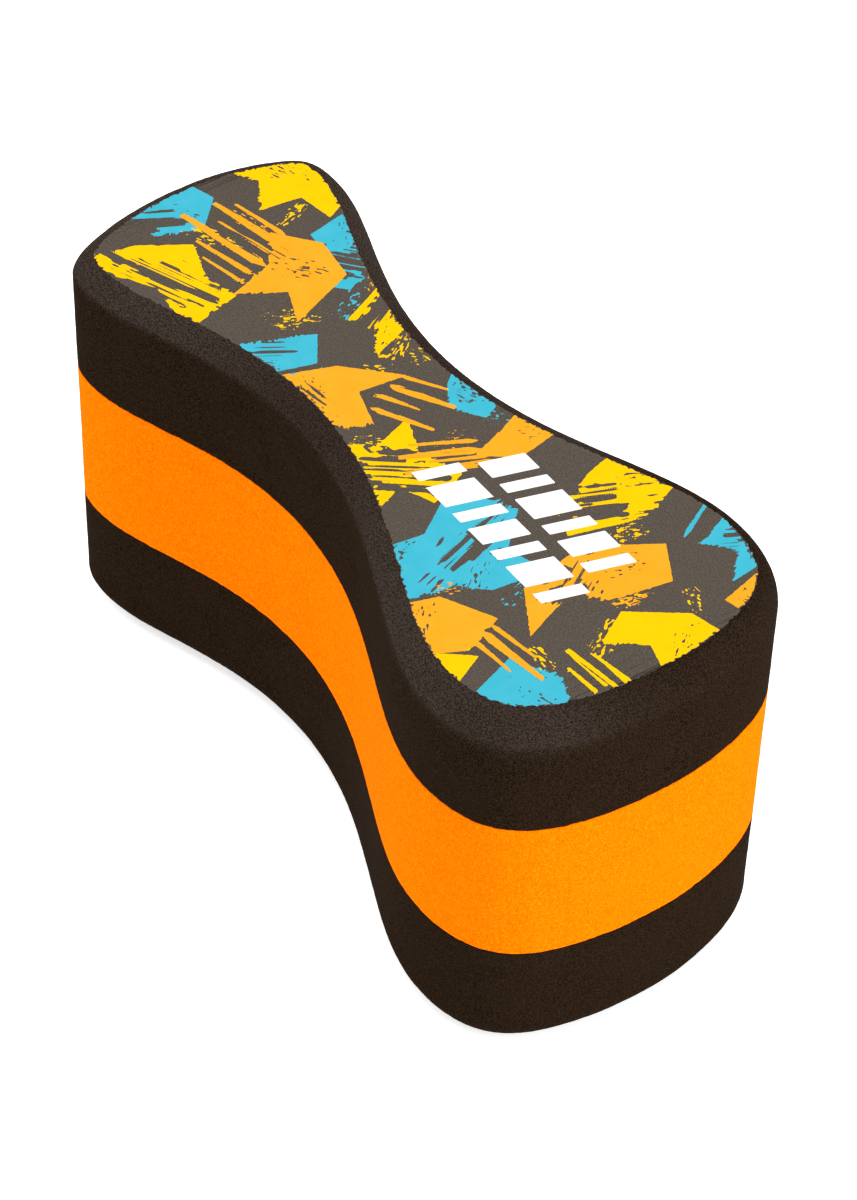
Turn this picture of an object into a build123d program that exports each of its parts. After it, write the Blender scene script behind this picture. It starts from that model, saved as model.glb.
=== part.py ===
"""Pull buoy: an hourglass block of three bonded EVA foam sheets with a printed top face.

Millimetres, +Z up. The origin is the centre of the underside. +X points to the large lobe.
"""

from build123d import *
import os

os.makedirs("parts", exist_ok=True)

# Overall size
LENGTH = 240.0
LARGE_LOBE_WIDTH = 106.0
SMALL_LOBE_WIDTH = 87.0
WAIST_WIDTH = 50.6

# The stack, from the underside up
BLACK_SHEET = 41.0
ORANGE_SHEET = 51.2
BOND = 0.2
FILM = 0.2
INK = 0.1

# Edges
BOTTOM_EDGE_RADIUS = 9.0
TOP_RIM_RADIUS = 6.3

LOWER_BOND_Z = BLACK_SHEET
MIDDLE_Z = LOWER_BOND_Z + BOND
UPPER_BOND_Z = MIDDLE_Z + ORANGE_SHEET
TOP_SHEET_Z = UPPER_BOND_Z + BOND
FILM_Z = TOP_SHEET_Z + BLACK_SHEET
INK_Z = FILM_Z + FILM

# Half of the plan outline: place along the length, and half the width there
HALF_OUTLINE = [
    (LENGTH / 2, 0),
    (116.5, 27),
    (106, 45.8),
    (81, LARGE_LOBE_WIDTH / 2),
    (50, 44.3),
    (17, 31),
    (-17, WAIST_WIDTH / 2),
    (-47, 29),
    (-72, 37.3),
    (-97, SMALL_LOBE_WIDTH / 2),
    (-107.5, 41.4),
    (-114.5, 31),
    (-118.5, 17),
    (-LENGTH / 2, 0),
]
OTHER_HALF = [(x, -half_width) for x, half_width in HALF_OUTLINE[-2:0:-1]]

# The printed graphic: splinter-shaped patches and loose brush strokes in four inks.
# A stroke is (start, end, width).
YELLOW_PATCHES = [
    [(-119, 12), (-119, 46), (-88, 46), (-80, 29), (-92, 27), (-94, 14), (-105, 21)],
    [(-106, -44), (-101, -24), (-92, -10), (-78, -15), (-67, -12), (-62, -32), (-80, -28)],
    [(-52, 32), (-32, 27), (-24, 6), (-34, 13), (-41, 8), (-45, 17)],
    [(-4, -28), (5, -13), (1, -1), (14, -6), (27, -1), (32, -14), (22, -18), (29, -38)],
    [(42, 42), (60, 52), (68, 29), (62, 8), (53, 13), (46, 27)],
    [(119, 22), (103, 18), (92, 3), (98, -8), (106, 2), (119, -2)],
    [(70, -56), (92, -54), (84, -37), (79, -43)],
]
YELLOW_STROKES = [
    ((117, -10), (99, -12.5), 2.2),
    ((117, -14.5), (95, -17), 3.0),
    ((116, -19), (101, -20.5), 1.6),
]
BLUE_PATCHES = [
    [(-119, 2), (-106, 6), (-96, -4), (-101, -17), (-108, -13), (-119, -32)],
    [(-81, 42), (-60, 35), (-51, 16), (-60, 8), (-66, 19), (-77, 20)],
    [(-54, -32), (-36, -25), (-31, -9), (-41, -2), (-46, -14)],
    [(-12, 26), (7, 30), (13, 17), (4, 11), (-4, 16)],
    [(36, -48), (40, -23), (30, -8), (46, 4), (57, -8), (69, -4), (67, -20), (60, -28), (55, -50)],
    [(76, 56), (84, 36), (92, 42), (100, 34), (98, 56)],
    [(96, -52), (89, -31), (101, -24), (119, -29), (119, -46)],
]
BLUE_STROKES = [
    ((80, 33), (70, 52), 1.4),
]
ORANGE_PATCHES = [
    [(-84, 11), (-72, 21), (-57, 19), (-48, -4), (-60, 1), (-68, -12), (-73, 3)],
    [(-35, -26), (-27, -5), (-13, 9), (-15, -6), (-2, -10), (-11, -27)],
    [(14, 30), (27, 37), (31, 15), (23, 6), (19, 18)],
    [(67, 9), (79, 28), (91, 21), (87, 3), (79, -4), (86, -22), (71, -13)],
    [(54, -54), (61, -33), (76, -25), (81, -38), (73, -54)],
    [(99, 50), (104, 28), (119, 32), (119, 50)],
]
ORANGE_STROKES = [
    ((-80, 14), (-100, 9.5), 1.8),
    ((-78, 10.5), (-104, 4.5), 3.0),
    ((-75, 6.5), (-97, 1.2), 1.6),
    ((-72, 2), (-105, -6), 3.6),
    ((-71, -3), (-93, -8.6), 2.0),
    ((-69, -7), (-86, -11), 1.4),
    ((-14, 7), (-2, 15), 1.6),
    ((-13, 2), (5, 12.5), 2.8),
    ((-12, -3), (1, 4.5), 1.6),
    ((-8, -7), (9, 2.5), 2.2),
    ((19, 10), (10, -7), 1.8),
    ((22.5, 9), (12.5, -12), 3.0),
    ((26, 10), (18, -7), 1.5),
    ((29, 11), (18.5, -14), 2.6),
    ((31.5, 14), (26, 1), 1.4),
    ((76, -28), (93, -25), 1.6),
    ((77, -31.5), (100, -28), 2.8),
    ((78, -35), (92, -33.5), 1.6),
]
# Two rows of plain slanted bars
BAR_HEIGHT = 13.0
BAR_LEAN = 4.0
BAR_GAP = 3.0
BAR_ROWS = [
    ((26, 4.5), [7, 4, 9, 4, 7, 4]),
    ((19, -12.5), [4, 9, 4, 7, 4, 9, 4]),
]


def bars(start, widths):
    """Corner points of a row of slanted bars, from the row's lower left corner."""
    x, y = start
    top = y + BAR_HEIGHT
    outlines = []
    for width in widths:
        outlines.append([(x, y), (x + width, y), (x + width + BAR_LEAN, top), (x + BAR_LEAN, top)])
        x += width + BAR_GAP
    return outlines


def stroke(start, end, width):
    """Corner points of a brush stroke, which is widest near its start and thins to its end."""
    a = Vector(*start)
    b = Vector(*end)
    side = (b - a).normalized().rotate(Axis.Z, 90) * width / 2
    shoulder = a + (b - a) * 0.15
    corners = [a, shoulder - side, b - side * 0.6, b + side * 0.4, shoulder + side]
    return [(corner.X, corner.Y) for corner in corners]


# Plan shape of every foam sheet
with BuildSketch() as plan:
    with BuildLine():
        Spline(*HALF_OUTLINE, *OTHER_HALF, periodic=True)
    make_face()

with BuildPart() as bottom_foam_layer:
    with BuildSketch():
        add(plan.sketch)
    extrude(amount=BLACK_SHEET)
    fillet(bottom_foam_layer.faces().sort_by(Axis.Z)[0].edges(), BOTTOM_EDGE_RADIUS)

with BuildPart() as middle_foam_layer:
    with BuildSketch(Plane.XY.offset(MIDDLE_Z)):
        add(plan.sketch)
    extrude(amount=ORANGE_SHEET)

with BuildPart() as top_foam_layer:
    with BuildSketch(Plane.XY.offset(TOP_SHEET_Z)):
        add(plan.sketch)
    extrude(amount=BLACK_SHEET)
    fillet(top_foam_layer.faces().sort_by(Axis.Z)[-1].edges(), TOP_RIM_RADIUS)

with BuildPart() as lower_bond_line:
    with BuildSketch(Plane.XY.offset(LOWER_BOND_Z)):
        add(plan.sketch)
    extrude(amount=BOND)

with BuildPart() as upper_bond_line:
    with BuildSketch(Plane.XY.offset(UPPER_BOND_Z)):
        add(plan.sketch)
    extrude(amount=BOND)

# The film covers the flat of the top face, up to where the rim starts to round over
top_flat = top_foam_layer.faces().sort_by(Axis.Z)[-1]
with BuildPart() as print_base_film:
    extrude(top_flat, amount=FILM)
with BuildSketch() as film_plan:
    add(top_flat.moved(Location((0, 0, -FILM_Z))))


def ink_plan(outlines, inks_above):
    """The flat region that the outlines cover on the film, less the inks that lie over it."""
    with BuildSketch() as region:
        for outline in outlines:
            Polygon(*outline, align=None)
        add(film_plan.sketch, mode=Mode.INTERSECT)
        for ink in inks_above:
            add(ink, mode=Mode.SUBTRACT)
    return region.sketch


white_plan = ink_plan([bar for row in BAR_ROWS for bar in bars(*row)], [])
orange_outlines = ORANGE_PATCHES + [stroke(*line) for line in ORANGE_STROKES]
orange_plan = ink_plan(orange_outlines, [white_plan])
yellow_outlines = YELLOW_PATCHES + [stroke(*line) for line in YELLOW_STROKES]
yellow_plan = ink_plan(yellow_outlines, [white_plan, orange_plan])
blue_outlines = BLUE_PATCHES + [stroke(*line) for line in BLUE_STROKES]
blue_plan = ink_plan(blue_outlines, [white_plan, orange_plan, yellow_plan])

with BuildPart() as print_white:
    with BuildSketch(Plane.XY.offset(INK_Z)):
        add(white_plan)
    extrude(amount=INK)

with BuildPart() as print_orange:
    with BuildSketch(Plane.XY.offset(INK_Z)):
        add(orange_plan)
    extrude(amount=INK)

with BuildPart() as print_yellow:
    with BuildSketch(Plane.XY.offset(INK_Z)):
        add(yellow_plan)
    extrude(amount=INK)

with BuildPart() as print_blue:
    with BuildSketch(Plane.XY.offset(INK_Z)):
        add(blue_plan)
    extrude(amount=INK)

bottom_foam_layer.part.label = "bottom_foam_layer"
export_step(bottom_foam_layer.part, "parts/bottom_foam_layer.step")
middle_foam_layer.part.label = "middle_foam_layer"
export_step(middle_foam_layer.part, "parts/middle_foam_layer.step")
top_foam_layer.part.label = "top_foam_layer"
export_step(top_foam_layer.part, "parts/top_foam_layer.step")
lower_bond_line.part.label = "lower_bond_line"
export_step(lower_bond_line.part, "parts/lower_bond_line.step")
upper_bond_line.part.label = "upper_bond_line"
export_step(upper_bond_line.part, "parts/upper_bond_line.step")
print_base_film.part.label = "print_base_film"
export_step(print_base_film.part, "parts/print_base_film.step")
print_white.part.label = "print_white"
export_step(print_white.part, "parts/print_white.step")
print_orange.part.label = "print_orange"
export_step(print_orange.part, "parts/print_orange.step")
print_yellow.part.label = "print_yellow"
export_step(print_yellow.part, "parts/print_yellow.step")
print_blue.part.label = "print_blue"
export_step(print_blue.part, "parts/print_blue.step")
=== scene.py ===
"""Pull buoy: foam sheets, bond lines and a splinter print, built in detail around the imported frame."""

import math
import bpy
import numpy as np
from mathutils import Matrix, Vector


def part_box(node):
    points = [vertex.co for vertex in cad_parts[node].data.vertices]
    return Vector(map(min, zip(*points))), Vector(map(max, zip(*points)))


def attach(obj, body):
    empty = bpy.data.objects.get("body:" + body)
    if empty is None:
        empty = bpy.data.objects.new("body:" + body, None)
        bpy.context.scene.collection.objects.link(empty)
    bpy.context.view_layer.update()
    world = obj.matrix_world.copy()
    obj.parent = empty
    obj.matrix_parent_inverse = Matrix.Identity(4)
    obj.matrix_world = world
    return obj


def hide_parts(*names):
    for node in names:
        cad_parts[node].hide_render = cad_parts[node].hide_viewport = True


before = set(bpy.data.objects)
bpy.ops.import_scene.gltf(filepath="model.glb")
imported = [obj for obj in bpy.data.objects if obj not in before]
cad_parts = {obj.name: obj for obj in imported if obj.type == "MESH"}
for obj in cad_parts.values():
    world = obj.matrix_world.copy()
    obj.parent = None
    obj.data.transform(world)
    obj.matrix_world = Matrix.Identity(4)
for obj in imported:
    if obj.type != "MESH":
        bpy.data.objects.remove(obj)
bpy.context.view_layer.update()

MM = 0.001
BODY = "root"

# ---------------------------------------------------------------- sizes, from the frame

BOTTOM_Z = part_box("bottom_foam_layer")[0].z
LOWER_SEAM = (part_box("lower_bond_line")[0].z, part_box("lower_bond_line")[1].z)
UPPER_SEAM = (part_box("upper_bond_line")[0].z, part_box("upper_bond_line")[1].z)
TOP_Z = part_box("top_foam_layer")[1].z
FILM_TOP_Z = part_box("print_base_film")[1].z
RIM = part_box("top_foam_layer")[1].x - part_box("print_base_film")[1].x

# ---------------------------------------------------------------- noise and steps

NOISE_ROWS = 256


def noise(x, y, seed, period=256):
    """Smooth noise from -1 to 1 with features one unit wide; it repeats in x after period units."""
    table = np.random.default_rng(seed).uniform(-1, 1, (period, NOISE_ROWS))
    column = np.floor(x).astype(int)
    row = np.floor(y).astype(int)
    across = x - column
    up = y - row
    across = across * across * (3 - 2 * across)
    up = up * up * (3 - 2 * up)

    def between_columns(level):
        left = table[column % period, level % NOISE_ROWS]
        right = table[(column + 1) % period, level % NOISE_ROWS]
        return left * (1 - across) + right * across

    return between_columns(row) * (1 - up) + between_columns(row + 1) * up


def ring_noise(places, length, size, rise, seed):
    """Noise along a closed outline, with features of about size, that meets itself. rise moves it on."""
    period = round(length / size)
    return noise(places / length * period, rise, seed, period)


def smooth_step(value, low, high):
    """0 below low, 1 above high and a smooth rise between them."""
    share = np.clip((value - low) / (high - low), 0, 1)
    return share * share * (3 - 2 * share)


# ---------------------------------------------------------------- plan outline

COLUMNS = 1056
SPLINE_STEPS = 24


def cad_ring(node, height):
    """Plan points of a CAD node's edge at a height, in order of their angle round the middle."""
    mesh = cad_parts[node].data
    corners = np.zeros(len(mesh.vertices) * 3)
    mesh.vertices.foreach_get("co", corners)
    corners = corners.reshape(-1, 3)
    at_height = np.abs(corners[:, 2] - height) < 0.005 * MM
    ring = np.unique(np.round(corners[at_height, :2], 7), axis=0)
    angle = np.arctan2(ring[:, 1], ring[:, 0]) % (2 * math.pi)
    return ring[np.argsort(angle)]


def spline_bends(chord, slope):
    """Second derivatives at the points of a closed cubic spline, from its chords and their slopes."""
    size = len(chord)
    rows = np.arange(size)
    before = np.roll(chord, 1)
    matrix = np.zeros((size, size))
    matrix[rows, rows] = 2 * (before + chord)
    matrix[rows, rows - 1] = before
    matrix[rows, (rows + 1) % size] = chord
    return np.linalg.solve(matrix, 6 * (slope - np.roll(slope, 1, 0)))


def spline_points(ring):
    """Closely spaced points on the closed cubic spline through ring, with the first one again at the end."""
    step = np.roll(ring, -1, 0) - ring
    chord = np.hypot(step[:, 0], step[:, 1])
    bend = spline_bends(chord, step / chord[:, None])
    bend_next = np.roll(bend, -1, 0)
    points = []
    for share in np.linspace(0, 1, SPLINE_STEPS, endpoint=False):
        cubic = bend * ((1 - share) ** 3 - (1 - share)) + bend_next * (share**3 - share)
        points.append(ring + step * share + cubic * (chord**2 / 6)[:, None])
    points = np.stack(points, 1).reshape(-1, 2)
    return np.vstack([points, points[:1]])


def closed_curve(ring, count):
    """Even points, outward normals and places along the smooth closed curve through ring, and its length."""
    dense = spline_points(ring)
    length = np.concatenate([[0], np.cumsum(np.hypot(*np.diff(dense, axis=0).T))])
    places = np.linspace(0, length[-1], count, endpoint=False)
    points = np.stack([np.interp(places, length, dense[:, k]) for k in (0, 1)], 1)
    along = np.roll(points, -1, 0) - np.roll(points, 1, 0)
    along /= np.hypot(along[:, 0], along[:, 1])[:, None]
    normals = np.stack([along[:, 1], -along[:, 0]], 1)
    return points, normals, places, length[-1]


RING = cad_ring("middle_foam_layer", LOWER_SEAM[1])
BOTTOM_EDGE = RING[:, 0].max() - cad_ring("bottom_foam_layer", BOTTOM_Z)[:, 0].max()
POINTS, NORMALS, PLACES, LENGTH = closed_curve(RING, COLUMNS)

# ---------------------------------------------------------------- meshes


def new_piece(name, vertices, faces, node, material, smooth=True):
    """A mesh piece that stands for a CAD node and rides on its body."""
    mesh = bpy.data.meshes.new(name)
    mesh.from_pydata(vertices, [], faces)
    mesh.validate()
    mesh.update()
    if smooth:
        mesh.shade_smooth()
    else:
        mesh.shade_flat()
    mesh.materials.append(material)
    piece = bpy.data.objects.new(name, mesh)
    bpy.context.scene.collection.objects.link(piece)
    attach(piece, BODY)
    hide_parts(node)
    return piece


def wall_faces(rows, count):
    """Quads between stacked closed rows of points."""
    column = np.arange(count)
    after = (column + 1) % count
    faces = []
    for row in range(rows - 1):
        low = row * count
        high = low + count
        faces.append(np.stack([low + column, low + after, high + after, high + column], 1))
    return np.vstack(faces).tolist()


def cap(outline, first, inner_first, rungs):
    """Inner points and faces across a closed outline. Its own points are numbered from first.

    The outline is symmetric about the X axis, so the cap is a ladder: rungs join mirrored columns.
    """
    count = len(outline)
    half = count // 2
    share = np.arange(1, rungs) / rungs
    left = outline[1:half]
    right = outline[:half:-1]
    inner = left[:, None] * (1 - share)[None, :, None] + right[:, None] * share[None, :, None]
    ids = np.zeros((half - 1, rungs + 1), int)
    ids[:, 0] = first + np.arange(1, half)
    ids[:, -1] = first + np.arange(count - 1, half, -1)
    ids[:, 1:-1] = inner_first + np.arange((half - 1) * (rungs - 1)).reshape(half - 1, -1)
    quads = np.stack([ids[:-1, :-1], ids[1:, :-1], ids[1:, 1:], ids[:-1, 1:]], 2).reshape(-1, 4)
    start_tip = [[first, int(a), int(b)] for a, b in zip(ids[0, :-1], ids[0, 1:])]
    end_tip = [[first + half, int(b), int(a)] for a, b in zip(ids[-1, :-1], ids[-1, 1:])]
    return inner.reshape(-1, 3), quads.tolist() + start_tip + end_tip


def layered_solid(points, rungs):
    """Vertices and faces of a closed solid from stacked closed rows of points, capped at both ends."""
    rows, count = points.shape[:2]
    inner_first = rows * count
    bottom, bottom_faces = cap(points[0], 0, inner_first, rungs)
    top, top_faces = cap(points[-1], inner_first - count, inner_first + len(bottom), rungs)
    faces = wall_faces(rows, count) + [face[::-1] for face in bottom_faces] + top_faces
    return np.vstack([points.reshape(-1, 3), bottom, top]), faces


# ---------------------------------------------------------------- foam sheets

WALL_ROW = 0.9 * MM
CAP_RUNGS = 10

# Where along the length the rim grows rounder and deeper, towards the large lobe
ROUNDER = (0.045, 0.09)
LOBE = smooth_step(POINTS[:, 0], *ROUNDER)

# Rounded edges: inset, drop, power and steps
SEAM_EDGE = (0.35 * MM, 0.35 * MM, 2.0, 4)
LOWEST_EDGE = (BOTTOM_EDGE, BOTTOM_EDGE, 2.0, 14)
TOP_RIM = (RIM, RIM * (1.05 + 0.8 * LOBE), 1.55 + 0.35 * LOBE, 18)

# How far a seam reaches into the sheets beside it as it strays
SEAM_REACH = 1.5 * MM

# The bond is set back from the wall
BOND_INSET = 0.22 * MM
BOND_WAVES = 400

# Where the rim is ground pale, with painted sheen: the paleness fades below this share of the rim's drop,
# and painted shade dims it round the waist
PALE_BAND_DEPTH = 0.75
WAIST_SHADE_X = -0.012
WAIST_SHADE_SPREAD = 0.035


def rounded_edge(inset, drop, power, steps):
    """Inset and drop along a rounded edge, from the flat face to the wall, a column for each place round it.

    Power 2 is a quarter ellipse, and less is nearer to a chamfer with crests.
    """
    turn = np.linspace(0, math.pi / 2, steps)[:, None]
    return inset * (1 - np.sin(turn) ** (2 / power)), drop * (1 - np.clip(np.cos(turn), 0, 1) ** (2 / power))


def seam_wander(seam):
    """How far a seam strays up or down along the wall, from the ragged knife cut through the bond."""
    slow = ring_noise(PLACES, LENGTH, 3.1 * MM, seam, 21)
    quick = ring_noise(PLACES, LENGTH, 1.1 * MM, seam, 22)
    return (0.11 * slow + 0.12 * quick) * MM


def wall_wave(height):
    """Low waves left in the wall where the block was cut in one pass."""
    wave = ring_noise(PLACES, LENGTH, 34 * MM, height / (40 * MM), 23)
    ripple = ring_noise(PLACES, LENGTH, 6 * MM, height / (5 * MM), 24)
    return (0.14 * wave + 0.035 * ripple) * MM


def wall_push(height):
    """How far the waves and the grain push each point of a sheet out. The flat faces stay put."""
    grain_rows = np.arange(len(height))[:, None] * np.ones(COLUMNS) * 0.6
    push = wall_wave(height)
    push += 0.04 * MM * ring_noise(PLACES, LENGTH, 1.3 * MM, grain_rows, 25)
    push[[0, -1]] = 0
    return push


def edge_rows(bottom, top, edges):
    """Inset and height of each row of a sheet's points, from its bottom face to its top face."""
    inset_low, rise_low = rounded_edge(*edges[0])
    inset_high, drop_high = rounded_edge(*edges[1])
    share = np.linspace(0, 1, round((top - bottom - RIM) / WALL_ROW))[1:-1, None]
    wall_low = bottom + rise_low[-1]
    wall = wall_low + (top - drop_high[-1] - wall_low) * share
    level = np.ones(COLUMNS)
    inset = np.vstack([inset_low * level, 0 * wall * level, inset_high[::-1] * level])
    height = np.vstack([(bottom + rise_low) * level, wall * level, (top - drop_high[::-1]) * level])
    return inset, height


def ground_and_light_share(height):
    """How pale the top sheet is, ground and with painted sheen: most along its rim, with painted shade
    making it less so at the waist, round the far end and towards the front.
    """
    along = POINTS[:, 0]
    fade = 0.8 * MM + 0.9 * MM * LOBE
    below = np.maximum(TOP_Z - PALE_BAND_DEPTH * TOP_RIM[1] - height, 0) / fade
    # Painted shade: the rim is dimmed round the far end, at the concave waist and towards the front.
    far_end_shade = smooth_step(along, 0.02, 0.06) * smooth_step(NORMALS[:, 1], -0.4, 0.0)
    waist_shade = np.exp(-(((along - WAIST_SHADE_X) / WAIST_SHADE_SPREAD) ** 2))
    front_shade = smooth_step(along, 0.085, 0.105)
    painted_shade = (1 - 0.85 * far_end_shade) * (1 - 0.5 * waist_shade) * (1 - 0.2 * front_shade)
    return np.exp(-below) * painted_shade


def foam_sheet(name, node, bottom, top, edges, seams, material):
    """A foam sheet. edges holds its bottom and top edges, and seams the number of the bond at each."""
    inset, height = edge_rows(bottom, top, edges)
    run_in = np.gradient(inset, axis=0)
    run_up = np.gradient(height, axis=0)
    run = np.hypot(run_in, run_up)
    push = wall_push(height)
    out = push * run_up / run - inset
    shift = np.zeros_like(height)
    for seam, seam_height in zip(seams, (bottom, top)):
        if seam is not None:
            shift += np.exp(-np.abs(height - seam_height) / SEAM_REACH) * seam_wander(seam)
    grid = np.zeros((*height.shape, 3))
    grid[:, :, :2] = POINTS + NORMALS * out[:, :, None]
    grid[:, :, 2] = height + shift + push * run_in / run
    vertices, faces = layered_solid(grid, CAP_RUNGS)
    piece = new_piece(name, vertices, faces, node, material)
    # The top sheet stores how pale its rim is: real grinding, painted sheen and painted shade.
    ground_and_painted_light = np.zeros(len(vertices), np.float32)
    if top == TOP_Z:
        ground_and_painted_light[: height.size] = ground_and_light_share(height).ravel()
    piece.data.attributes.new("ground_and_painted_light", "FLOAT", "POINT").data.foreach_set("value", ground_and_painted_light)


def bond_line(name, node, seam_heights, seam, material):
    """The thin bond between two sheets, set a little back from the wall."""
    waves = noise(PLACES / LENGTH * BOND_WAVES, seam, 26, BOND_WAVES)
    inset = BOND_INSET + 0.08 * MM * waves
    grid = np.zeros((2, COLUMNS, 3))
    grid[:, :, :2] = POINTS + NORMALS * (wall_wave(seam_heights[0]) - inset)[:, None]
    grid[:, :, 2] = np.array(seam_heights)[:, None] + seam_wander(seam)
    vertices, faces = layered_solid(grid, CAP_RUNGS)
    new_piece(name, vertices, faces, node, material)


# ---------------------------------------------------------------- film

FILM_COLUMNS = 2400
FILM_RUNGS = 24
FILM_RING_COLUMNS = 1200


def top_relief(x, y):
    """Faint unevenness of the printed face."""
    return 0.05 * MM * noise(x / (28 * MM), y / (28 * MM), 31)


def film_outline(count):
    """The film's outline in plan, torn a little where the rim was ground round."""
    points, normals, places, length = closed_curve(RING, count)
    slow = ring_noise(places, length, 2.2 * MM, 0, 32)
    quick = ring_noise(places, length, 0.8 * MM, 0, 33)
    torn = (0.12 * slow + 0.5 * np.minimum(quick, 0)) * MM
    return points + normals * (torn - RIM)[:, None]


def film_piece(material):
    """The grey film on the flat of the top face."""
    grid = np.zeros((2, FILM_COLUMNS, 3))
    grid[:, :, :2] = film_outline(FILM_COLUMNS)
    grid[0, :, 2] = TOP_Z
    grid[1, :, 2] = FILM_TOP_Z
    vertices, faces = layered_solid(grid, FILM_RUNGS)
    upper = vertices[:, 2] > (TOP_Z + FILM_TOP_Z) / 2
    vertices[upper, 2] += top_relief(vertices[upper, 0], vertices[upper, 1])
    new_piece("print_film", vertices, faces, "print_base_film", material, smooth=False)


# ---------------------------------------------------------------- outlines of the inks


def top_edges(node):
    """The edges of a CAD node's upward faces that no two of those faces share, each from start to end."""
    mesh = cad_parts[node].data
    edges = {}
    for face in mesh.polygons:
        if face.normal.z < 0.9:
            continue
        ring = [tuple(np.round(mesh.vertices[v].co[:2], 6)) for v in face.vertices]
        for a, b in zip(ring, ring[1:] + ring[:1]):
            if (b, a) in edges:
                del edges[(b, a)]
            else:
                edges[(a, b)] = True
    return edges


def signed_area(loop):
    """Twice the area in a closed outline, negative where it runs clockwise, as round a hole."""
    after = np.roll(loop, -1, 0)
    return np.sum(loop[:, 0] * after[:, 1] - after[:, 0] * loop[:, 1])


def plan_loops(node):
    """The closed outlines of a CAD node's patches, in plan, without the holes in them."""
    following = {}
    for a, b in top_edges(node):
        following.setdefault(a, []).append(b)
    loops = []
    while following:
        loop = [next(iter(following))]
        while True:
            ahead = following[loop[-1]].pop()
            if not following[loop[-1]]:
                del following[loop[-1]]
            if ahead == loop[0]:
                break
            loop.append(ahead)
        loops.append(np.array(loop))
    return [loop for loop in loops if signed_area(loop) > 0]


def inside_distance(x, y, loop):
    """Signed distance to a closed outline: positive inside it."""
    nearest = np.full(x.shape, np.inf)
    inside = np.zeros(x.shape, bool)
    for (ax, ay), (bx, by) in zip(loop, np.roll(loop, -1, 0)):
        dx = bx - ax
        dy = by - ay
        share = np.clip(((x - ax) * dx + (y - ay) * dy) / (dx * dx + dy * dy), 0, 1)
        nearest = np.minimum(nearest, (x - ax - share * dx) ** 2 + (y - ay - share * dy) ** 2)
        crosses = (ay > y) != (by > y)
        if dy:
            inside ^= crosses & (x < ax + (y - ay) * dx / dy)
    return np.where(inside, 1, -1) * np.sqrt(nearest)


# ---------------------------------------------------------------- brushwork of the inks

GRID = 0.3 * MM
FILM_RING = film_outline(FILM_RING_COLUMNS)
SPAN_X = np.arange(FILM_RING[:, 0].min() - MM, FILM_RING[:, 0].max() + MM, GRID)
SPAN_Y = np.arange(FILM_RING[:, 1].min() - MM, FILM_RING[:, 1].max() + MM, GRID)
X, Y = np.meshgrid(SPAN_X, SPAN_Y, indexing="ij")
ON_FILM = inside_distance(X, Y, FILM_RING)

# A zone is: middle x and y, half length and half width in mm, direction in degrees, and strength.
# A dry zone is streaked along its direction.
DRY = {
    "print_yellow": [(-84, -25, 26, 11, 22, 1.0), (15, -17, 26, 10, 52, 1.0), (57, 22, 24, 9, 66, 1.0),
                     (-38, 18, 14, 7, -62, 0.8), (106, -15, 14, 6, 8, 0.6)],
    "print_blue": [(-62, 22, 20, 8, 40, 1.0), (-106, -12, 12, 8, 62, 0.8), (50, -14, 26, 8, -72, 1.0),
                   (-42, -17, 12, 7, 58, 0.7), (88, 44, 10, 6, 62, 0.6)],
    "print_orange": [(-88, 3, 20, 12, 15, 0.55), (17, 0, 18, 9, 65, 0.5), (86, -31, 14, 7, 8, 0.5),
                     (-4, 3, 12, 9, 36, 0.5), (77, 0, 14, 8, -60, 0.75), (-20, -18, 14, 6, 10, 0.7)],
    "print_white": [],
}
# Outlines in a bristled zone have fine teeth.
BRISTLED = {
    "print_yellow": [(-104, 14, 8, 16, -80, 1.0), (-80, -10, 6, 14, 80, 1.0), (14, -1, 6, 14, 85, 0.9),
                     (98, -6, 8, 9, -60, 1.0), (-30, 8, 6, 10, 60, 0.8)],
    "print_blue": [(-100, -14, 9, 8, -50, 1.0), (-48, -12, 6, 14, 150, 0.9), (65, -30, 7, 14, -30, 1.0),
                   (100, -24, 6, 16, 95, 0.9), (92, 36, 6, 12, -90, 0.9), (4, 10, 6, 12, -80, 0.8)],
    "print_orange": [(-68, -6, 9, 8, -80, 0.9), (81, -15, 8, 10, -60, 0.9), (-4, -14, 6, 12, -30, 0.9)],
    "print_white": [],
}
# Short marks are missing from a worn zone.
WORN = {
    "print_yellow": [(-106, 30, 10, 6, 20, 1.0), (-74, -29, 8, 4, 30, 0.8), (54, 38, 9, 5, 60, 0.9),
                     (110, 10, 8, 5, -60, 0.8), (-31, 15, 7, 4, -60, 0.8), (82, -49, 9, 4, 20, 0.8)],
    "print_blue": [(-72, 30, 9, 5, -30, 0.9), (-103, -4, 9, 4, 40, 0.8), (40, -30, 12, 5, -75, 1.0),
                   (62, -22, 10, 5, -50, 0.9), (2, 19, 9, 5, 20, 0.9), (-36, -20, 8, 4, 40, 0.8),
                   (104, -34, 12, 5, 10, 0.9), (92, 47, 8, 4, -30, 0.8)],
    "print_orange": [(-66, 10, 11, 6, 30, 1.0), (-22, -17, 9, 5, -10, 1.0), (79, 14, 10, 5, 60, 0.9),
                     (24, 25, 7, 4, 60, 0.9), (66, -42, 8, 5, -40, 0.9), (108, 34, 9, 5, 10, 0.8)],
    "print_white": [],
}
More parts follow.
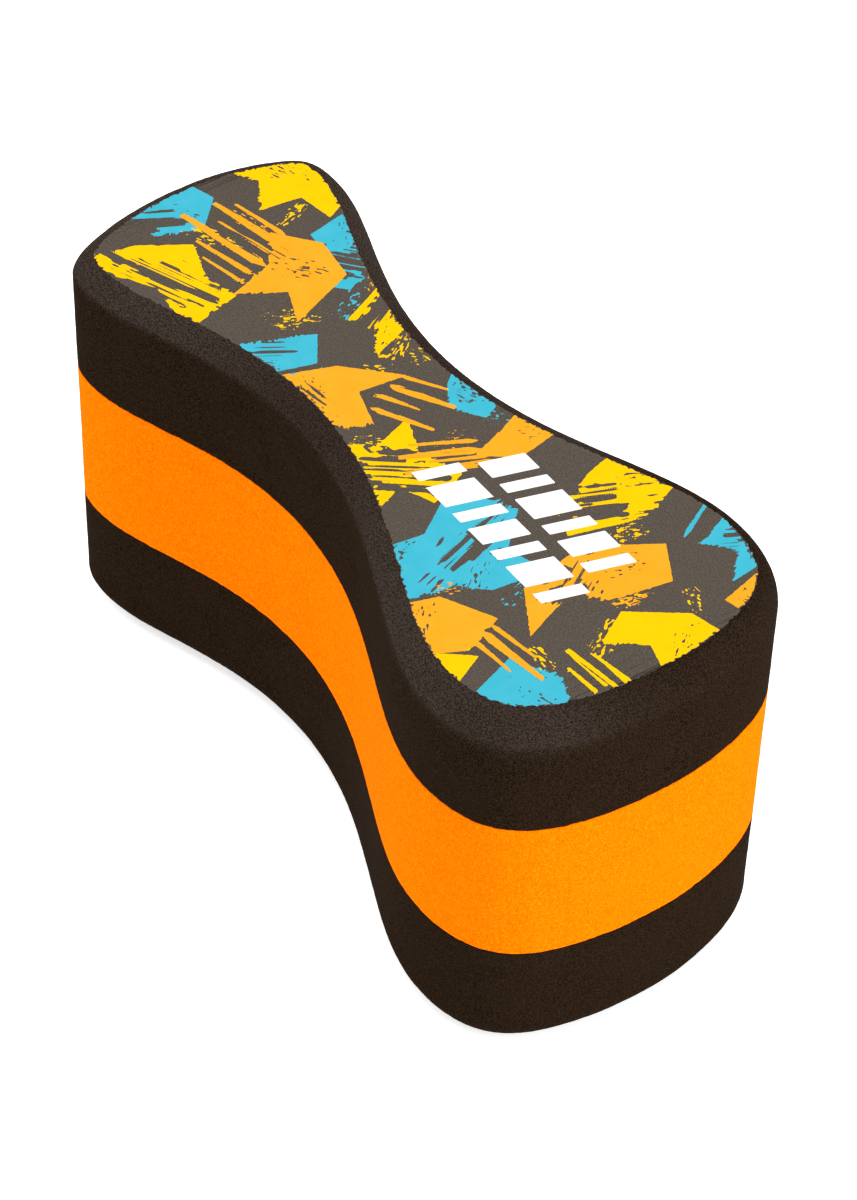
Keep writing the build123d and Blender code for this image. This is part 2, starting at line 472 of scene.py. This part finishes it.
# A spattered zone has loose marks of ink.
SPATTER = {
    "print_yellow": [(-24, 14, 10, 4, -60, 0.9), (-20, 3, 7, 3, 40, 0.8), (-92, -4, 11, 4, 30, 0.85),
                     (4, -14, 10, 4, 50, 0.8), (70, 22, 8, 4, 70, 0.8), (97, -5, 9, 4, -60, 0.9),
                     (88, 8, 7, 4, 50, 0.75), (-87, 21, 8, 3, -70, 0.8), (94, -24, 8, 3, 10, 0.8),
                     (-50, -3, 9, 5, 60, 0.85), (-18, 17, 6, 4, 30, 0.75), (100, 22, 6, 3, 0, 0.75)],
    "print_blue": [(-46, 12, 8, 4, -60, 0.75), (-112, -6, 6, 3, 60, 0.7), (71, -14, 9, 3, -70, 0.75),
                   (-27, -12, 8, 3, 70, 0.75), (14, 20, 6, 3, 40, 0.7)],
    "print_orange": [(-94, 8, 8, 3, 15, 0.7), (-6, -14, 6, 4, 50, 0.85), (89, 10, 9, 4, 80, 0.85),
                     (15, 5, 8, 4, 68, 0.6), (-52, 24, 8, 3, -20, 0.7), (60, -30, 7, 3, 60, 0.75)],
    "print_white": [],
}

# Lengths in mm: how far dry bristles and teeth carry an outline, and how fast a mark's edge falls off
COMB_SLIDE = 2.6
TEETH_SLIDE = 1.1
GAP_SLOPE = 0.8
SPATTER_SLOPE = 0.6
# How far an ink runs on under the inks over it, and the bites that the torn film takes out of it
OVERLAP = 2.5 * MM
BITE = 0.8 * MM
PATCH_REACH = 7 * MM
FAR_OUT = -10 * MM


def in_zone(zone):
    """How far each grid point lies in a zone, from 0 to its strength, its place there, and the direction."""
    middle_x, middle_y, half_length, half_width, degrees, strength = zone
    turn = math.radians(degrees)
    x = X - middle_x * MM
    y = Y - middle_y * MM
    along = x * math.cos(turn) + y * math.sin(turn)
    across = y * math.cos(turn) - x * math.sin(turn)
    coarse = noise(x / (3.5 * MM), y / (3.5 * MM), 35)
    fine = noise(x / (1.6 * MM), y / (1.6 * MM), 36)
    ragged = 0.35 * coarse + 0.2 * fine
    apart = np.hypot(along / (half_length * MM), across / (half_width * MM)) + ragged
    direction = np.array([math.cos(turn), math.sin(turn)])[:, None, None]
    return strength * (1 - smooth_step(apart, 0.35, 1.15)), along, across, direction


def dry_brush(node, seed):
    """How far dry bristles carry an ink's outline in x and y, and where their gaps leave none."""
    slide = np.zeros((2, *X.shape))
    missing = np.full(X.shape, -1.0)
    for number, zone in enumerate(DRY[node]):
        amount, along, across, direction = in_zone(zone)
        comb = noise(np.floor(across / (0.8 * MM)), along / (50 * MM), seed + number)
        comb += 0.6 * noise(np.floor(across / (2.6 * MM)), along / (50 * MM), seed + number + 20)
        slide += COMB_SLIDE * MM * amount * comb * direction
        streak = noise(across / (0.95 * MM), along / (24 * MM), seed + number + 40)
        thin = noise(across / (0.5 * MM), along / (15 * MM), seed + number + 60)
        broad = noise(across / (2.4 * MM), along / (28 * MM), seed + number + 140)
        gaps = np.maximum(np.maximum(streak, 0.95 * thin), 1.05 * broad)
        missing = np.maximum(missing, gaps - (1.12 - 0.72 * amount))
    return slide, missing


def add_teeth(slide, node, seed):
    """Adds the fine teeth of bristled outlines to how far the outline is carried."""
    for number, zone in enumerate(BRISTLED[node]):
        amount, along, across, direction = in_zone(zone)
        teeth = noise(across / (0.42 * MM), along / (7 * MM), seed + number + 160)
        slide += TEETH_SLIDE * MM * amount * teeth * direction


def short_marks(zones, seed, size, base, gain):
    """Short marks in the zones, positive inside them. size is their length in mm.

    A larger base makes them rarer, and a larger gain makes them commoner towards a zone's middle.
    """
    marks = np.full(X.shape, -1.0)
    for number, zone in enumerate(zones):
        amount, along, across, _ = in_zone(zone)
        specks = noise(across / (0.36 * MM), along / (size * MM), seed + number)
        marks = np.maximum(marks, specks - (base - gain * amount))
    return marks


def patch_distances(node, slide):
    """Signed distance into a node's patches: as drawn, and with the outline carried by the brush."""
    plain = np.full(X.shape, FAR_OUT)
    brushed = np.full(X.shape, FAR_OUT)
    for loop in plan_loops(node):
        low = loop.min(0) - PATCH_REACH
        high = loop.max(0) + PATCH_REACH
        window = (slice(*np.searchsorted(SPAN_X, (low[0], high[0]))),
                  slice(*np.searchsorted(SPAN_Y, (low[1], high[1]))))
        x = X[window]
        y = Y[window]
        if x.size:
            plain[window] = np.maximum(plain[window], inside_distance(x, y, loop))
            carried = inside_distance(x + slide[0][window], y + slide[1][window], loop)
            brushed[window] = np.maximum(brushed[window], carried)
    return plain, brushed


def ink_field(node, seed, cover):
    """Where an ink lies, positive inside, and its patches as drawn. It runs on under the inks over it."""
    slide, missing = dry_brush(node, seed)
    add_teeth(slide, node, seed)
    missing = np.maximum(missing, short_marks(WORN[node], seed + 80, size=1.3, base=1.08, gain=0.66))
    loose = short_marks(SPATTER[node], seed + 100, size=1.1, base=1.06, gain=0.95)
    plain, brushed = patch_distances(node, slide)
    if DRY[node]:
        brushed += 0.10 * MM * noise(X / (0.7 * MM), Y / (0.7 * MM), seed + 120)
    brushed = np.minimum(brushed, -missing * GAP_SLOPE * MM)
    brushed = np.maximum(brushed, loose * SPATTER_SLOPE * MM)
    whole = np.maximum(brushed, np.minimum(cover, plain + OVERLAP))
    bites = BITE * np.maximum(noise(X / (0.62 * MM), Y / (0.62 * MM), 34), 0)
    return np.minimum(whole, ON_FILM - 0.05 * MM - bites), plain


# ---------------------------------------------------------------- ink layers

INK_STEP = 0.02 * MM
INK_BASE_Z = FILM_TOP_Z - 0.03 * MM
CLEAR_OF_ZERO = 0.002 * MM
# A cut stays this share of a grid step away from the corners beside it
LEAST_CUT = 0.06
MOST_CUT = 0.94


def cut_share(a, b):
    """How far along from a to b the field crosses zero."""
    return np.clip(a / (a - b + 1e-30), LEAST_CUT, MOST_CUT)


def grid_places(field):
    """Plan places of the grid's points, then of the field's cuts east of each one and north of each one."""
    places = np.zeros((3, *field.shape, 2))
    places[:, :, :, 0] = X
    places[:, :, :, 1] = Y
    places[1, :-1, :, 0] += cut_share(field[:-1], field[1:]) * GRID
    places[2, :, :-1, 1] += cut_share(field[:, :-1], field[:, 1:]) * GRID
    return places.reshape(-1, 2)


def round_cells(grid):
    """A grid's values at the corners of every cell, counter-clockwise from the south-west one."""
    return [grid[:-1, :-1], grid[1:, :-1], grid[1:, 1:], grid[:-1, 1:]]


def cell_shape(inside):
    """The polygons that fill a cell, and its open sides, from which of its corners are inside.

    Corner k is (k, 0), and the cut on the side after it is (k, 1).
    """
    polygon = []
    sides = []
    for k in range(4):
        if inside[k]:
            polygon.append((k, 0))
        if inside[k] != inside[(k + 1) % 4]:
            polygon.append((k, 1))
        if inside[k] and not inside[(k + 1) % 4]:
            back = k
            while inside[(back - 1) % 4]:
                back -= 1
            sides.append([(k, 1), ((back - 1) % 4, 1)])
    if inside[0] == inside[2] and inside[1] == inside[3] and inside[0] != inside[1]:
        return [[((k - 1) % 4, 1), (k, 0), (k, 1)] for k in range(4) if inside[k]], sides
    return [polygon], sides


def ink_faces(field):
    """Faces over the part of the grid where field is positive, and the open sides round them."""
    corner = np.arange(field.size).reshape(field.shape)
    east = corner + field.size
    north = east + field.size
    cuts = [east[:-1, :-1], north[1:, :-1], east[:-1, 1:], north[:-1, :-1]]
    ids = list(zip(round_cells(corner), cuts))
    kinds = sum(solid.astype(int) << k for k, solid in enumerate(round_cells(field > 0)))
    faces = []
    open_sides = []
    for kind in range(1, 16):
        cells = kinds == kind
        polygons, sides = cell_shape([bool(kind >> k & 1) for k in range(4)])
        for polygon in polygons:
            faces += np.stack([ids[k][part][cells] for k, part in polygon], 1).tolist()
        for side in sides:
            open_sides += np.stack([ids[k][part][cells] for k, part in side], 1).tolist()
    return faces, open_sides


def ink_piece(name, node, field, rank, material):
    """A thin closed layer wherever field is positive, with its outline cut between grid points."""
    field = np.where(np.abs(field) < CLEAR_OF_ZERO, CLEAR_OF_ZERO, field)
    top_faces, open_sides = ink_faces(field)
    used = np.unique([corner for face in top_faces for corner in face])
    number = dict(zip(used.tolist(), range(len(used))))
    plan = grid_places(field)[used]
    relief = top_relief(plan[:, 0], plan[:, 1])
    upper = np.column_stack([plan, relief + FILM_TOP_Z + INK_STEP * rank])
    lower = np.column_stack([plan, relief + INK_BASE_Z])
    count = len(used)
    faces = [[number[v] for v in face] for face in top_faces]
    faces += [[number[v] + count for v in face[::-1]] for face in top_faces]
    faces += [[number[a], number[a] + count, number[b] + count, number[b]] for a, b in open_sides]
    new_piece(name, np.vstack([upper, lower]), faces, node, material, smooth=False)


# ---------------------------------------------------------------- materials


class Surface:
    """A material and the few node shortcuts that the surfaces here share."""

    def __init__(self, name, roughness, specular):
        self.material = bpy.data.materials.new(name)
        self.material.use_nodes = True
        self.nodes = self.material.node_tree.nodes
        self.links = self.material.node_tree.links
        self.shader = self.nodes["Principled BSDF"]
        self.shader.inputs["Roughness"].default_value = roughness
        self.shader.inputs["Specular IOR Level"].default_value = specular
        self.place = self.nodes.new("ShaderNodeTexCoord").outputs["Object"]

    def noise(self, size_mm, detail=2.0):
        """Noise whose features are about size_mm wide."""
        node = self.nodes.new("ShaderNodeTexNoise")
        node.inputs["Scale"].default_value = 1000 / size_mm
        node.inputs["Detail"].default_value = detail
        self.links.new(self.place, node.inputs["Vector"])
        return node.outputs["Fac"]

    def cells(self, size_mm):
        """Distance to the middle of the nearest cell."""
        node = self.nodes.new("ShaderNodeTexVoronoi")
        node.inputs["Scale"].default_value = 1000 / size_mm
        self.links.new(self.place, node.inputs["Vector"])
        return node.outputs["Distance"]

    def ramp(self, value, low, high, bottom=0.0, top=1.0):
        """bottom where value is at low, top where it is at high, and a straight rise between them."""
        node = self.nodes.new("ShaderNodeMapRange")
        node.inputs["From Min"].default_value = low
        node.inputs["From Max"].default_value = high
        node.inputs["To Min"].default_value = bottom
        node.inputs["To Max"].default_value = top
        self.links.new(value, node.inputs["Value"])
        return node.outputs["Result"]

    def product(self, first, second):
        """Two values multiplied."""
        node = self.nodes.new("ShaderNodeMath")
        node.operation = "MULTIPLY"
        self.links.new(first, node.inputs[0])
        self.links.new(second, node.inputs[1])
        return node.outputs["Value"]

    def mix(self, share, first, second):
        """The first colour where share is 0 and the second where it is 1. Each is a tuple or a socket."""
        node = self.nodes.new("ShaderNodeMix")
        node.data_type = "RGBA"
        self.links.new(share, node.inputs["Factor"])
        for socket, value in ((node.inputs["A"], first), (node.inputs["B"], second)):
            if isinstance(value, tuple):
                socket.default_value = (*value, 1)
            else:
                self.links.new(value, socket)
        return node.outputs["Result"]

    def attribute(self, name):
        """A value stored in the mesh."""
        node = self.nodes.new("ShaderNodeAttribute")
        node.attribute_name = name
        return node.outputs["Fac"]

    def bump(self, height, depth_mm, strength):
        """Bumps from a height, on top of those already there."""
        node = self.nodes.new("ShaderNodeBump")
        node.inputs["Strength"].default_value = strength
        node.inputs["Distance"].default_value = depth_mm * MM
        self.links.new(height, node.inputs["Height"])
        if self.shader.inputs["Normal"].is_linked:
            self.links.new(self.shader.inputs["Normal"].links[0].from_socket, node.inputs["Normal"])
        self.links.new(node.outputs["Normal"], self.shader.inputs["Normal"])

    def colour(self, value):
        """Sets the base colour."""
        self.links.new(value, self.shader.inputs["Base Color"])

    def roughness(self, value):
        """Sets the roughness."""
        self.links.new(value, self.shader.inputs["Roughness"])


def black_foam():
    """Cut closed-cell foam: matt brown-black and finely grained, paler where the rim was ground round and
    where a painted sheen lies on the rim, and darker where painted shade dims that rim.
    """
    wall_dark, wall_pale = (0.0060, 0.0028, 0.0010), (0.0272, 0.0158, 0.0085)
    wall_patch = (0.0200, 0.0120, 0.0070)
    # The rim colours are paler than the ground foam alone: they hold a painted sheen.
    rim_dark, rim_pale = (0.016, 0.0105, 0.0078), (0.058, 0.042, 0.0345)
    cell_wall = (0.092, 0.072, 0.060)
    s = Surface("black_foam", roughness=0.85, specular=0.005)
    grain = s.noise(size_mm=0.42)
    mottle = s.noise(size_mm=14)
    cell = s.cells(size_mm=0.6)
    ground_and_painted_light = s.attribute("ground_and_painted_light")
    wall = s.mix(s.ramp(grain, 0.40, 0.62), wall_dark, wall_pale)
    wall = s.mix(s.ramp(mottle, 0.35, 0.7, top=0.35), wall, wall_patch)
    rim = s.mix(s.ramp(grain, 0.38, 0.64), rim_dark, rim_pale)
    rim = s.mix(s.ramp(cell, 0.05, 0.20, bottom=0.45, top=0.0), rim, cell_wall)
    s.colour(s.mix(ground_and_painted_light, wall, rim))
    s.roughness(s.ramp(grain, 0.3, 0.7, bottom=0.78, top=0.92))
    s.bump(grain, depth_mm=0.06, strength=0.7)
    pits = s.product(s.ramp(cell, 0.0, 0.6, bottom=1.0, top=0.0), ground_and_painted_light)
    s.bump(pits, depth_mm=0.10, strength=0.6)
    return s.material


def orange_foam():
    """The orange sheet: the same foam, with a suede-like grain and faint pores."""
    grain_dark, grain_pale = (0.92, 0.126, 0.0002), (1.0, 0.255, 0.0007)
    coarse_dark = (0.95, 0.140, 0.0003)
    patch = (0.99, 0.200, 0.0006)
    pore = (0.72, 0.085, 0.0003)
    s = Surface("orange_foam", roughness=0.85, specular=0.002)
    grain = s.noise(size_mm=0.48)
    coarse = s.noise(size_mm=1.3)
    mottle = s.noise(size_mm=18)
    pores = s.cells(size_mm=1.0)
    base = s.mix(s.ramp(grain, 0.38, 0.62), grain_dark, grain_pale)
    base = s.mix(s.ramp(coarse, 0.45, 0.66, top=0.55), base, coarse_dark)
    base = s.mix(s.ramp(mottle, 0.35, 0.7, top=0.3), base, patch)
    base = s.mix(s.ramp(pores, 0.06, 0.22, bottom=0.6, top=0.0), base, pore)
    s.colour(base)
    s.roughness(s.ramp(grain, 0.3, 0.7, bottom=0.78, top=0.9))
    s.bump(grain, depth_mm=0.07, strength=0.8)
    s.bump(coarse, depth_mm=0.12, strength=0.5)
    return s.material


def bond():
    """The dark, slightly uneven bond in the seams."""
    s = Surface("bond", roughness=0.7, specular=0.05)
    s.colour(s.mix(s.noise(size_mm=0.8), (0.010, 0.004, 0.002), (0.03, 0.010, 0.004)))
    return s.material


def grey_film():
    """The warm grey film under the print, with a faint leathery emboss."""
    s = Surface("grey_film", roughness=0.6, specular=0.05)
    grain = s.noise(size_mm=0.46)
    s.colour(s.mix(s.ramp(grain, 0.40, 0.62), (0.063, 0.050, 0.039), (0.096, 0.078, 0.063)))
    s.roughness(s.ramp(grain, 0.3, 0.7, bottom=0.55, top=0.7))
    s.bump(grain, depth_mm=0.04, strength=0.6)
    return s.material


def ink(name, dark, light, wear):
    """A printed ink: slightly uneven in tone, with pinholes that show the film under it."""
    film = (0.07, 0.056, 0.044)
    s = Surface(name, roughness=0.55, specular=0.02)
    grain = s.noise(size_mm=0.6)
    tone = s.noise(size_mm=7, detail=3)
    pinholes = s.noise(size_mm=0.42)
    base = s.mix(s.ramp(tone, 0.35, 0.65), dark, light)
    s.colour(s.mix(s.ramp(pinholes, 0.70, 0.76, top=wear), base, film))
    s.roughness(s.ramp(grain, 0.3, 0.7, bottom=0.5, top=0.64))
    s.bump(grain, depth_mm=0.04, strength=0.6)
    return s.material


# ---------------------------------------------------------------- the buoy

BLACK = black_foam()
ORANGE = orange_foam()
BOND = bond()

foam_sheet("bottom_foam", "bottom_foam_layer", BOTTOM_Z, LOWER_SEAM[0],
           (LOWEST_EDGE, SEAM_EDGE), (None, 1), BLACK)
foam_sheet("middle_foam", "middle_foam_layer", LOWER_SEAM[1], UPPER_SEAM[0],
           (SEAM_EDGE, SEAM_EDGE), (1, 2), ORANGE)
foam_sheet("top_foam", "top_foam_layer", UPPER_SEAM[1], TOP_Z,
           (SEAM_EDGE, TOP_RIM), (2, None), BLACK)
bond_line("lower_bond", "lower_bond_line", LOWER_SEAM, 1, BOND)
bond_line("upper_bond", "upper_bond_line", UPPER_SEAM, 2, BOND)
film_piece(grey_film())

# The inks from the top one down: name, CAD node, slot, seed, darker and lighter tone, and pinholes
INKS = [
    ("ink_white", "print_white", "white_ink", 400, (0.80, 0.79, 0.81), (0.84, 0.83, 0.85), 0.1),
    ("ink_orange", "print_orange", "orange_ink", 270, (0.74, 0.322, 0.012), (0.77, 0.342, 0.018), 0.6),
    ("ink_yellow", "print_yellow", "yellow_ink", 140, (0.82, 0.475, 0.0006), (0.85, 0.495, 0.0012), 0.4),
    ("ink_blue", "print_blue", "blue_ink", 10, (0.042, 0.385, 0.50), (0.052, 0.405, 0.53), 0.5),
]
cover = -ON_FILM
for depth, (name, node, slot, seed, dark, light, wear) in enumerate(INKS):
    field, plain = ink_field(node, seed, cover)
    ink_piece(name, node, field, len(INKS) - depth, ink(slot, dark, light, wear))
    cover = np.maximum(cover, plain)

# ---------------------------------------------------------------- floor, light and camera

FLOOR_HALF = 6.0
FLOOR_DROP = 0.0002
FLOOR_GLOW = 0.6
LIGHT_AIM = Vector((0, 0, 0.07))

# Where the camera stands: direction from the buoy, in degrees, and distance to the point it aims at
CAMERA_AIM = Vector((0.0068, 0.0039, 0.0641))
CAMERA_AZIMUTH = -36.784
CAMERA_ELEVATION = 46.185
CAMERA_DISTANCE = 1.1137
CAMERA_ROLL = 1.851
CAMERA_LENS = 116.8
CAMERA_SENSOR = 36.0


def direction_to(azimuth, elevation):
    """Unit vector towards an azimuth, from +X towards +Y, and an elevation, both in degrees."""
    a = math.radians(azimuth)
    e = math.radians(elevation)
    return Vector((math.cos(e) * math.cos(a), math.cos(e) * math.sin(a), math.sin(e)))


def floor():
    """A plain pale floor, wide enough to fill the view."""
    half = FLOOR_HALF
    corners = [(-half, -half, 0), (half, -half, 0), (half, half, 0), (-half, half, 0)]
    mesh = bpy.data.meshes.new("floor")
    mesh.from_pydata(corners, [], [(0, 1, 2, 3)])
    s = Surface("floor", roughness=0.9, specular=0.0)
    s.shader.inputs["Base Color"].default_value = (0.93, 0.93, 0.93, 1)
    s.shader.inputs["Emission Color"].default_value = (1, 1, 1, 1)
    s.shader.inputs["Emission Strength"].default_value = FLOOR_GLOW
    mesh.materials.append(s.material)
    plane = bpy.data.objects.new("floor", mesh)
    bpy.context.scene.collection.objects.link(plane)
    plane.location.z = BOTTOM_Z - FLOOR_DROP


def softbox(name, azimuth, elevation, distance, size, watts):
    """A square area light aimed at the buoy."""
    light = bpy.data.lights.new(name, "AREA")
    light.shape = "SQUARE"
    light.size = size
    light.energy = watts
    lamp = bpy.data.objects.new(name, light)
    bpy.context.scene.collection.objects.link(lamp)
    lamp.location = LIGHT_AIM + distance * direction_to(azimuth, elevation)
    lamp.rotation_euler = (LIGHT_AIM - lamp.location).to_track_quat("-Z", "Y").to_euler()


def pale_world(strength):
    """Even pale light from all round."""
    world = bpy.data.worlds.new("studio")
    world.use_nodes = True
    background = world.node_tree.nodes["Background"]
    background.inputs["Color"].default_value = (1, 1, 1, 1)
    background.inputs["Strength"].default_value = strength
    bpy.context.scene.world = world


def camera():
    """The camera at the viewing angle of the reference view."""
    data = bpy.data.cameras.new("camera")
    data.lens = CAMERA_LENS
    data.sensor_width = CAMERA_SENSOR
    view = bpy.data.objects.new("camera", data)
    bpy.context.scene.collection.objects.link(view)
    back = direction_to(CAMERA_AZIMUTH, CAMERA_ELEVATION)
    turn = back.to_track_quat("Z", "Y").to_matrix() @ Matrix.Rotation(math.radians(CAMERA_ROLL), 3, "Z")
    view.matrix_world = Matrix.Translation(CAMERA_AIM + back * CAMERA_DISTANCE) @ turn.to_4x4()
    bpy.context.scene.camera = view


floor()
pale_world(0.56)
softbox("key", azimuth=22, elevation=18, distance=1.6, size=1.0, watts=16.5)
softbox("fill", azimuth=-150, elevation=35, distance=1.6, size=1.1, watts=9)
softbox("top", azimuth=0, elevation=89, distance=1.6, size=1.1, watts=15)
camera()
bpy.context.scene.view_settings.view_transform = "Standard"
